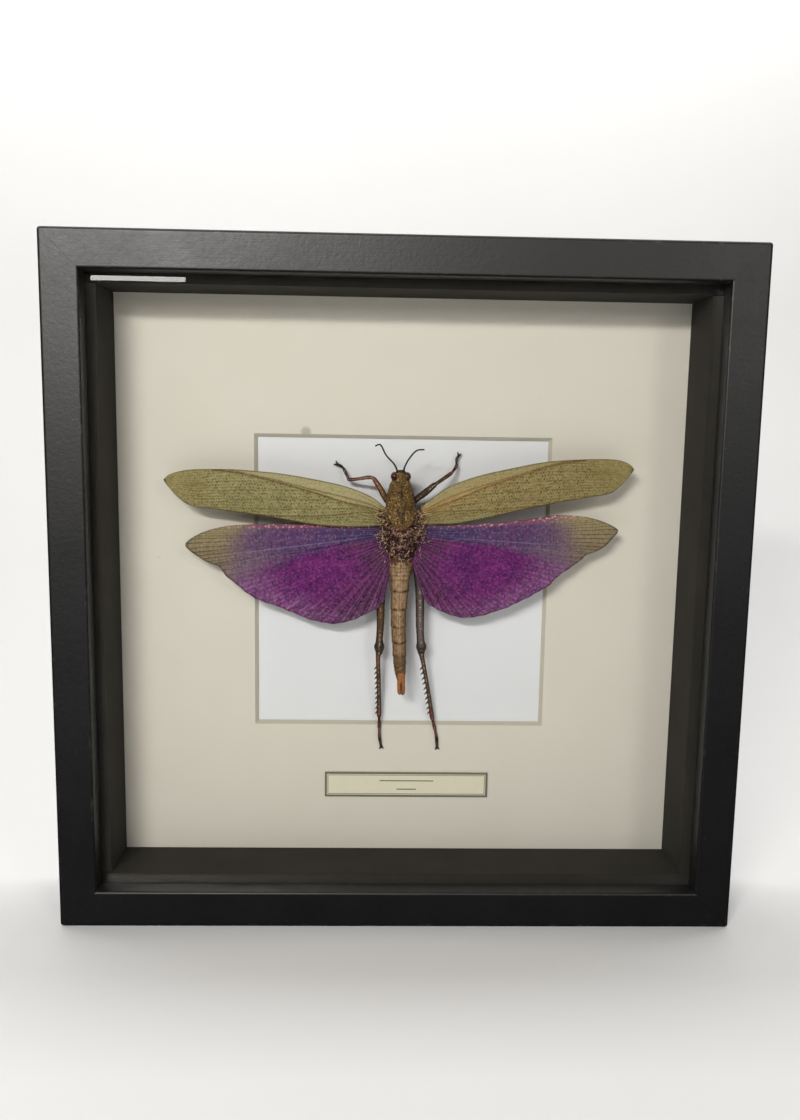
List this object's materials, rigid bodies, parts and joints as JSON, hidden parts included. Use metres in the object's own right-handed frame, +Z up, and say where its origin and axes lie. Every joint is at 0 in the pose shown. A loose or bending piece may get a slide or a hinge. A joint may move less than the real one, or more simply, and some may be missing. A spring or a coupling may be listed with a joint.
{
  "type": "framed grasshopper specimen",
  "caption": "Dried winged grasshopper with spread wings, fixed over a mat window inside a deep black box frame with a glass front, for a wall or a shelf.",
  "frame": {"origin": "middle of the footprint, on the surface that the frame stands on", "axes": "+Z up, front face with the glass towards -Y, +X to the viewer's right"},
  "size_m": [0.3, 0.0494, 0.3],
  "materials": {
    "frame_wood": "satin black lacquer on wood",
    "spacer_wood": "matt black painted strip",
    "clear_glass": "clear picture glass",
    "mat_card": "cream mat board, uncoated",
    "white_card": "smooth white card",
    "label_paper": "pale printed paper with a thin border",
    "hardboard": "brown hardboard",
    "steel": "plated steel",
    "cork": "pressed cork",
    "brown_shell": "dry granular insect shell",
    "tan_shell": "dry smooth insect shell with dark rings",
    "orange_shell": "dry horny insect shell",
    "eye": "dark glossy insect eye",
    "black_feeler": "black insect feeler",
    "leg_shell": "brown horny insect leg",
    "green_wing": "leathery veined wing",
    "violet_wing": "thin pleated veined wing"
  },
  "bodies": {
    "root": {"frame_rail_top": "frame_wood", "frame_rail_right": "frame_wood", "frame_rail_bottom": "frame_wood", "frame_rail_left": "frame_wood", "spacer_top": "spacer_wood", "spacer_right": "spacer_wood", "spacer_bottom": "spacer_wood", "spacer_left": "spacer_wood", "glass_pane": "clear_glass", "mat_board": "mat_card", "white_panel": "white_card", "label_card": "label_paper", "backing_board": "hardboard", "retaining_tab_top_1": "steel", "retaining_tab_top_2": "steel", "retaining_tab_right_1": "steel", "retaining_tab_right_2": "steel", "retaining_tab_bottom_1": "steel", "retaining_tab_bottom_2": "steel", "retaining_tab_left_1": "steel", "retaining_tab_left_2": "steel", "sawtooth_hanger": "steel", "mounting_block": "cork", "head": "brown_shell", "eye_left": "eye", "eye_right": "eye", "antenna_left": "black_feeler", "antenna_right": "black_feeler", "pronotum": "brown_shell", "thorax": "brown_shell", "abdomen": "tan_shell", "ovipositor": "orange_shell", "forewing_left": "green_wing", "forewing_right": "green_wing", "hindwing_left": "violet_wing", "hindwing_right": "violet_wing", "foreleg_left": "leg_shell", "foreleg_right": "leg_shell", "midleg_left": "leg_shell", "midleg_right": "leg_shell", "hindleg_left": "leg_shell", "hindleg_right": "leg_shell"}
  },
  "joints": []
}
